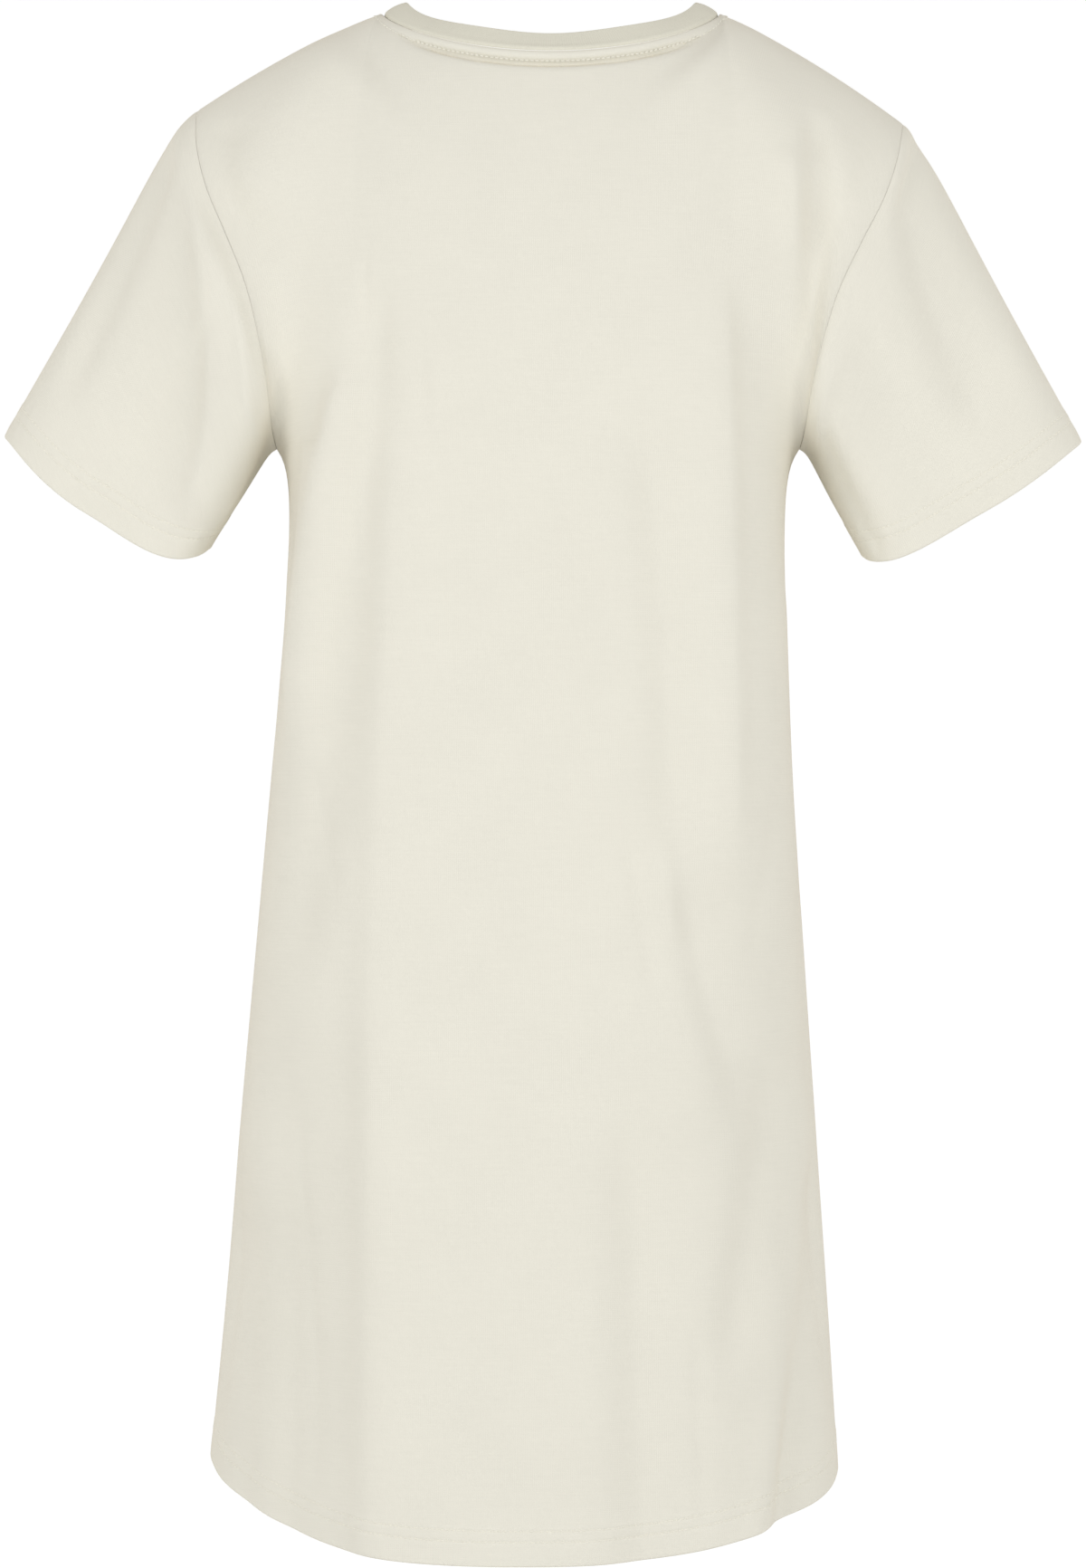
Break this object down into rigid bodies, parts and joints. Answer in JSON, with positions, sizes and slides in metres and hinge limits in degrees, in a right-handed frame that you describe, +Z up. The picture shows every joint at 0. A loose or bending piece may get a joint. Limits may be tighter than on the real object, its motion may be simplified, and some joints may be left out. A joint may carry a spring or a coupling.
{
  "type": "t-shirt dress",
  "caption": "Loose knee-length jersey dress with short set-in sleeves, a round ribbed neck and a curved turned-up hem, hollow as if worn, open at neck, cuffs and hem.",
  "frame": {"origin": "centre of the neck opening, level with the neck ends of the two shoulder seams, where the wearer's neck and shoulders hold the dress", "axes": "+Z up, -Y towards the wearer's front, +X towards the wearer's left"},
  "size_m": [0.6181, 0.2577, 0.8798],
  "materials": {
    "jersey": "matt cotton single jersey, cream",
    "rib": "matt cotton rib knit, cream"
  },
  "bodies": {
    "root": {"back": "jersey", "front": "jersey", "sleeve_left": "jersey", "sleeve_right": "jersey", "neck_rib": "rib"}
  },
  "joints": []
}
